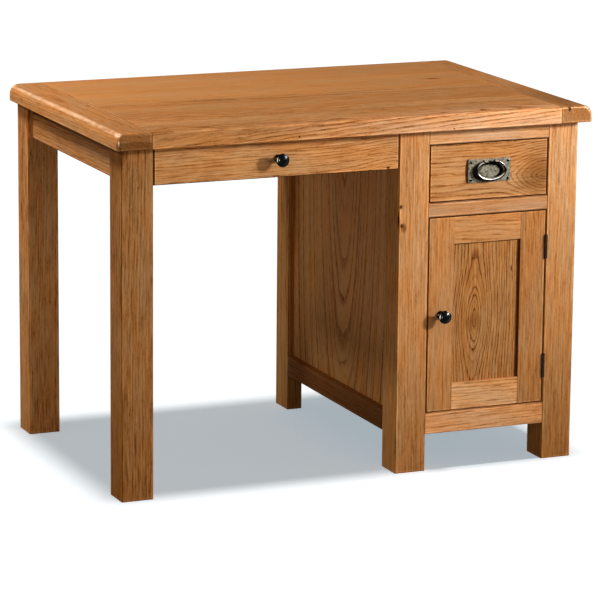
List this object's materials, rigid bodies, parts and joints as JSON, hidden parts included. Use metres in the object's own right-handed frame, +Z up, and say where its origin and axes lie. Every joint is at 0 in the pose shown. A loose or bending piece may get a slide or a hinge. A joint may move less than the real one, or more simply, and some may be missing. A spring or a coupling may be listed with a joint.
{
  "type": "kneehole desk",
  "caption": "Oak writing desk with a single cupboard pedestal, a shallow drawer over the kneehole, a pedestal drawer with a drop handle and a hinged panelled door.",
  "frame": {"origin": "on the floor under the middle of the desk top", "axes": "+X to the right seen from the front, +Y to the back, +Z up"},
  "size_m": [1.08, 0.7, 0.78],
  "materials": {
    "oak_top": "satin",
    "oak_frame": "satin",
    "oak_front": "satin",
    "oak_panel": "satin",
    "drawer_lining": "matte",
    "antique_metal": "antiqued",
    "dark_bronze": "dark gloss",
    "plated_steel": "plated",
    "catch_plastic": "matte"
  },
  "bodies": {
    "frame": {"apron_left": "oak_frame", "apron_rear": "oak_frame", "cupboard_floor": "oak_panel", "cupboard_shelf": "oak_panel", "door_catch": "catch_plastic", "drawer_kickers": "drawer_lining", "drawer_runners": "drawer_lining", "hinge_leg_leaves": "dark_bronze", "hinge_pins": "dark_bronze", "kneehole_drawer_runners": "drawer_lining", "kneehole_tie_rail": "oak_frame", "leg_left_front": "oak_frame", "leg_left_rear": "oak_frame", "leg_pedestal_front": "oak_frame", "leg_pedestal_rear": "oak_frame", "leg_right_front": "oak_frame", "leg_right_rear": "oak_frame", "pedestal_back_bottom_rail": "oak_frame", "pedestal_back_mid_rail": "oak_frame", "pedestal_back_panel": "oak_panel", "pedestal_back_top_rail": "oak_frame", "pedestal_front_bottom_rail": "oak_frame", "pedestal_front_mid_rail": "oak_frame", "pedestal_front_top_rail": "oak_frame", "pedestal_left_bottom_rail": "oak_frame", "pedestal_left_panel": "oak_panel", "pedestal_left_top_rail": "oak_frame", "pedestal_right_bottom_rail": "oak_frame", "pedestal_right_panel": "oak_panel", "pedestal_right_top_rail": "oak_frame", "shelf_bearers": "drawer_lining", "top_board_1": "oak_top", "top_board_2": "oak_top", "top_board_3": "oak_top", "top_board_4": "oak_top", "top_end_left": "oak_top", "top_end_right": "oak_top"},
    "kneehole_drawer": {"kneehole_drawer_front": "oak_front", "kneehole_drawer_side_left": "drawer_lining", "kneehole_drawer_side_right": "drawer_lining", "kneehole_drawer_back": "drawer_lining", "kneehole_drawer_bottom": "drawer_lining", "kneehole_drawer_knob": "dark_bronze"},
    "pedestal_drawer": {"pedestal_drawer_front": "oak_front", "pedestal_drawer_side_left": "drawer_lining", "pedestal_drawer_side_right": "drawer_lining", "pedestal_drawer_back": "drawer_lining", "pedestal_drawer_bottom": "drawer_lining", "handle_plate": "antique_metal", "handle_pins": "antique_metal", "handle_posts": "antique_metal"},
    "handle_bail": {"handle_bail": "antique_metal"},
    "door": {"door_stile_left": "oak_front", "door_stile_right": "oak_front", "door_rail_top": "oak_front", "door_rail_bottom": "oak_front", "door_panel": "oak_front", "door_knob": "dark_bronze", "door_strike": "plated_steel", "hinge_door_leaves": "dark_bronze"}
  },
  "joints": [
    {"name": "kneehole_drawer_slide", "type": "slide", "parent": "frame", "child": "kneehole_drawer", "axis": [0, -1, 0], "range_m": [0, 0.36]},
    {"name": "pedestal_drawer_slide", "type": "slide", "parent": "frame", "child": "pedestal_drawer", "axis": [0, -1, 0], "range_m": [0, 0.4]},
    {"name": "door_swing", "type": "hinge", "parent": "frame", "child": "door", "pos_m": [0.45025, -0.319, 0.34], "axis": [0, 0, 1], "range_deg": [0, 165]},
    {"name": "bail_swing", "type": "hinge", "parent": "pedestal_drawer", "child": "handle_bail", "pos_m": [0.311, -0.3275, 0.666], "axis": [-1, 0, 0], "range_deg": [0, 95]}
  ]
}
